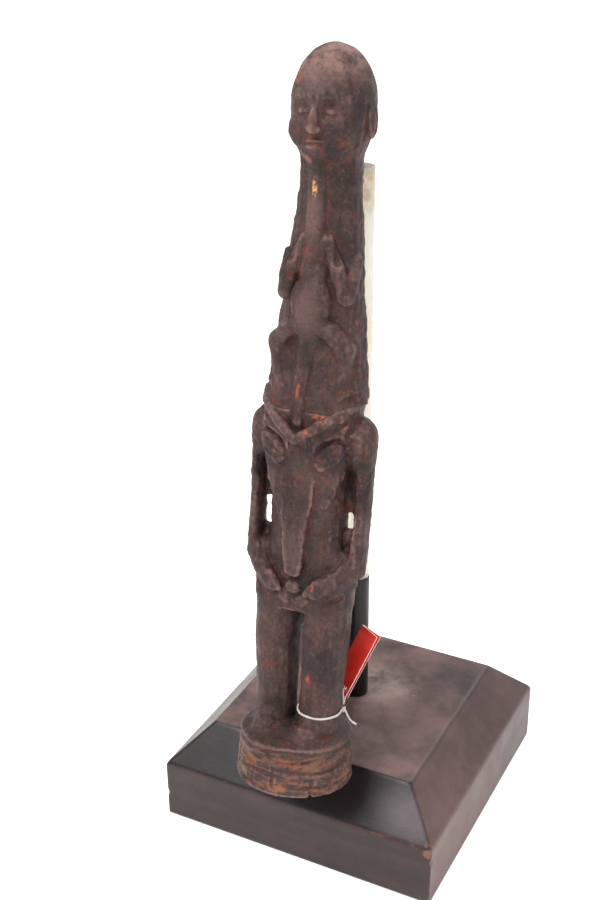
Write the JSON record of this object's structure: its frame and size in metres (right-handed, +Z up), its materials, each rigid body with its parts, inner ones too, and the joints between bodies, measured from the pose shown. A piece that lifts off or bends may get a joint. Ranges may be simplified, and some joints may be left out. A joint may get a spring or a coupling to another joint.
{
  "type": "carved ancestor figure on stand",
  "caption": "Tall carved wooden ancestor figure on a grooved drum, leaning on a clear rod in a square bevelled base, with a red tag tied to one ankle.",
  "frame": {"origin": "centre of the base's underside", "axes": "+Z up, the figure faces -Y, +X is the figure's left"},
  "size_m": [0.13, 0.1568, 0.3441],
  "materials": {
    "carved_wood": "matte, dark, worn, with reddish ochre in the hollows",
    "base_wood": "dark satin paint, dusty on top, worn to wood on one edge",
    "rod_acrylic": "clear acrylic, slightly yellowed",
    "black_wrap": "satin black",
    "adhesive": "aged clear adhesive",
    "string": "twisted cotton",
    "red_card": "stiff card, red on its faces, white at its cut edges"
  },
  "bodies": {
    "stand": {"base_block": "base_wood", "support_rod": "rod_acrylic", "rod_wrap": "black_wrap", "neck_adhesive": "adhesive", "carved_figure": "carved_wood"},
    "ankle_string": {"string_loop": "string", "string_knot": "string", "string_tail": "string"},
    "tag": {"string_eye": "string", "tag_front_leaf": "red_card"},
    "tag_leaf": {"tag_back_leaf": "red_card"}
  },
  "joints": [
    {"name": "loop_turn", "type": "hinge", "parent": "stand", "child": "ankle_string", "pos_m": [0.01144, -0.06177, 0.08258], "axis": [-0.0274, 0.1925, 0.9809], "range_deg": [-25, 30]},
    {"name": "tag_swing", "type": "hinge", "parent": "ankle_string", "child": "tag", "pos_m": [0.02038, -0.05692, 0.08188], "axis": [-0.9164, 0.3431, 0.2059], "range_deg": [-2, 75]},
    {"name": "tag_fold", "type": "hinge", "parent": "tag", "child": "tag_leaf", "pos_m": [0.01103, -0.05065, 0.08664], "axis": [0.3224, 0.3283, 0.8878], "range_deg": [-7, 7]}
  ]
}
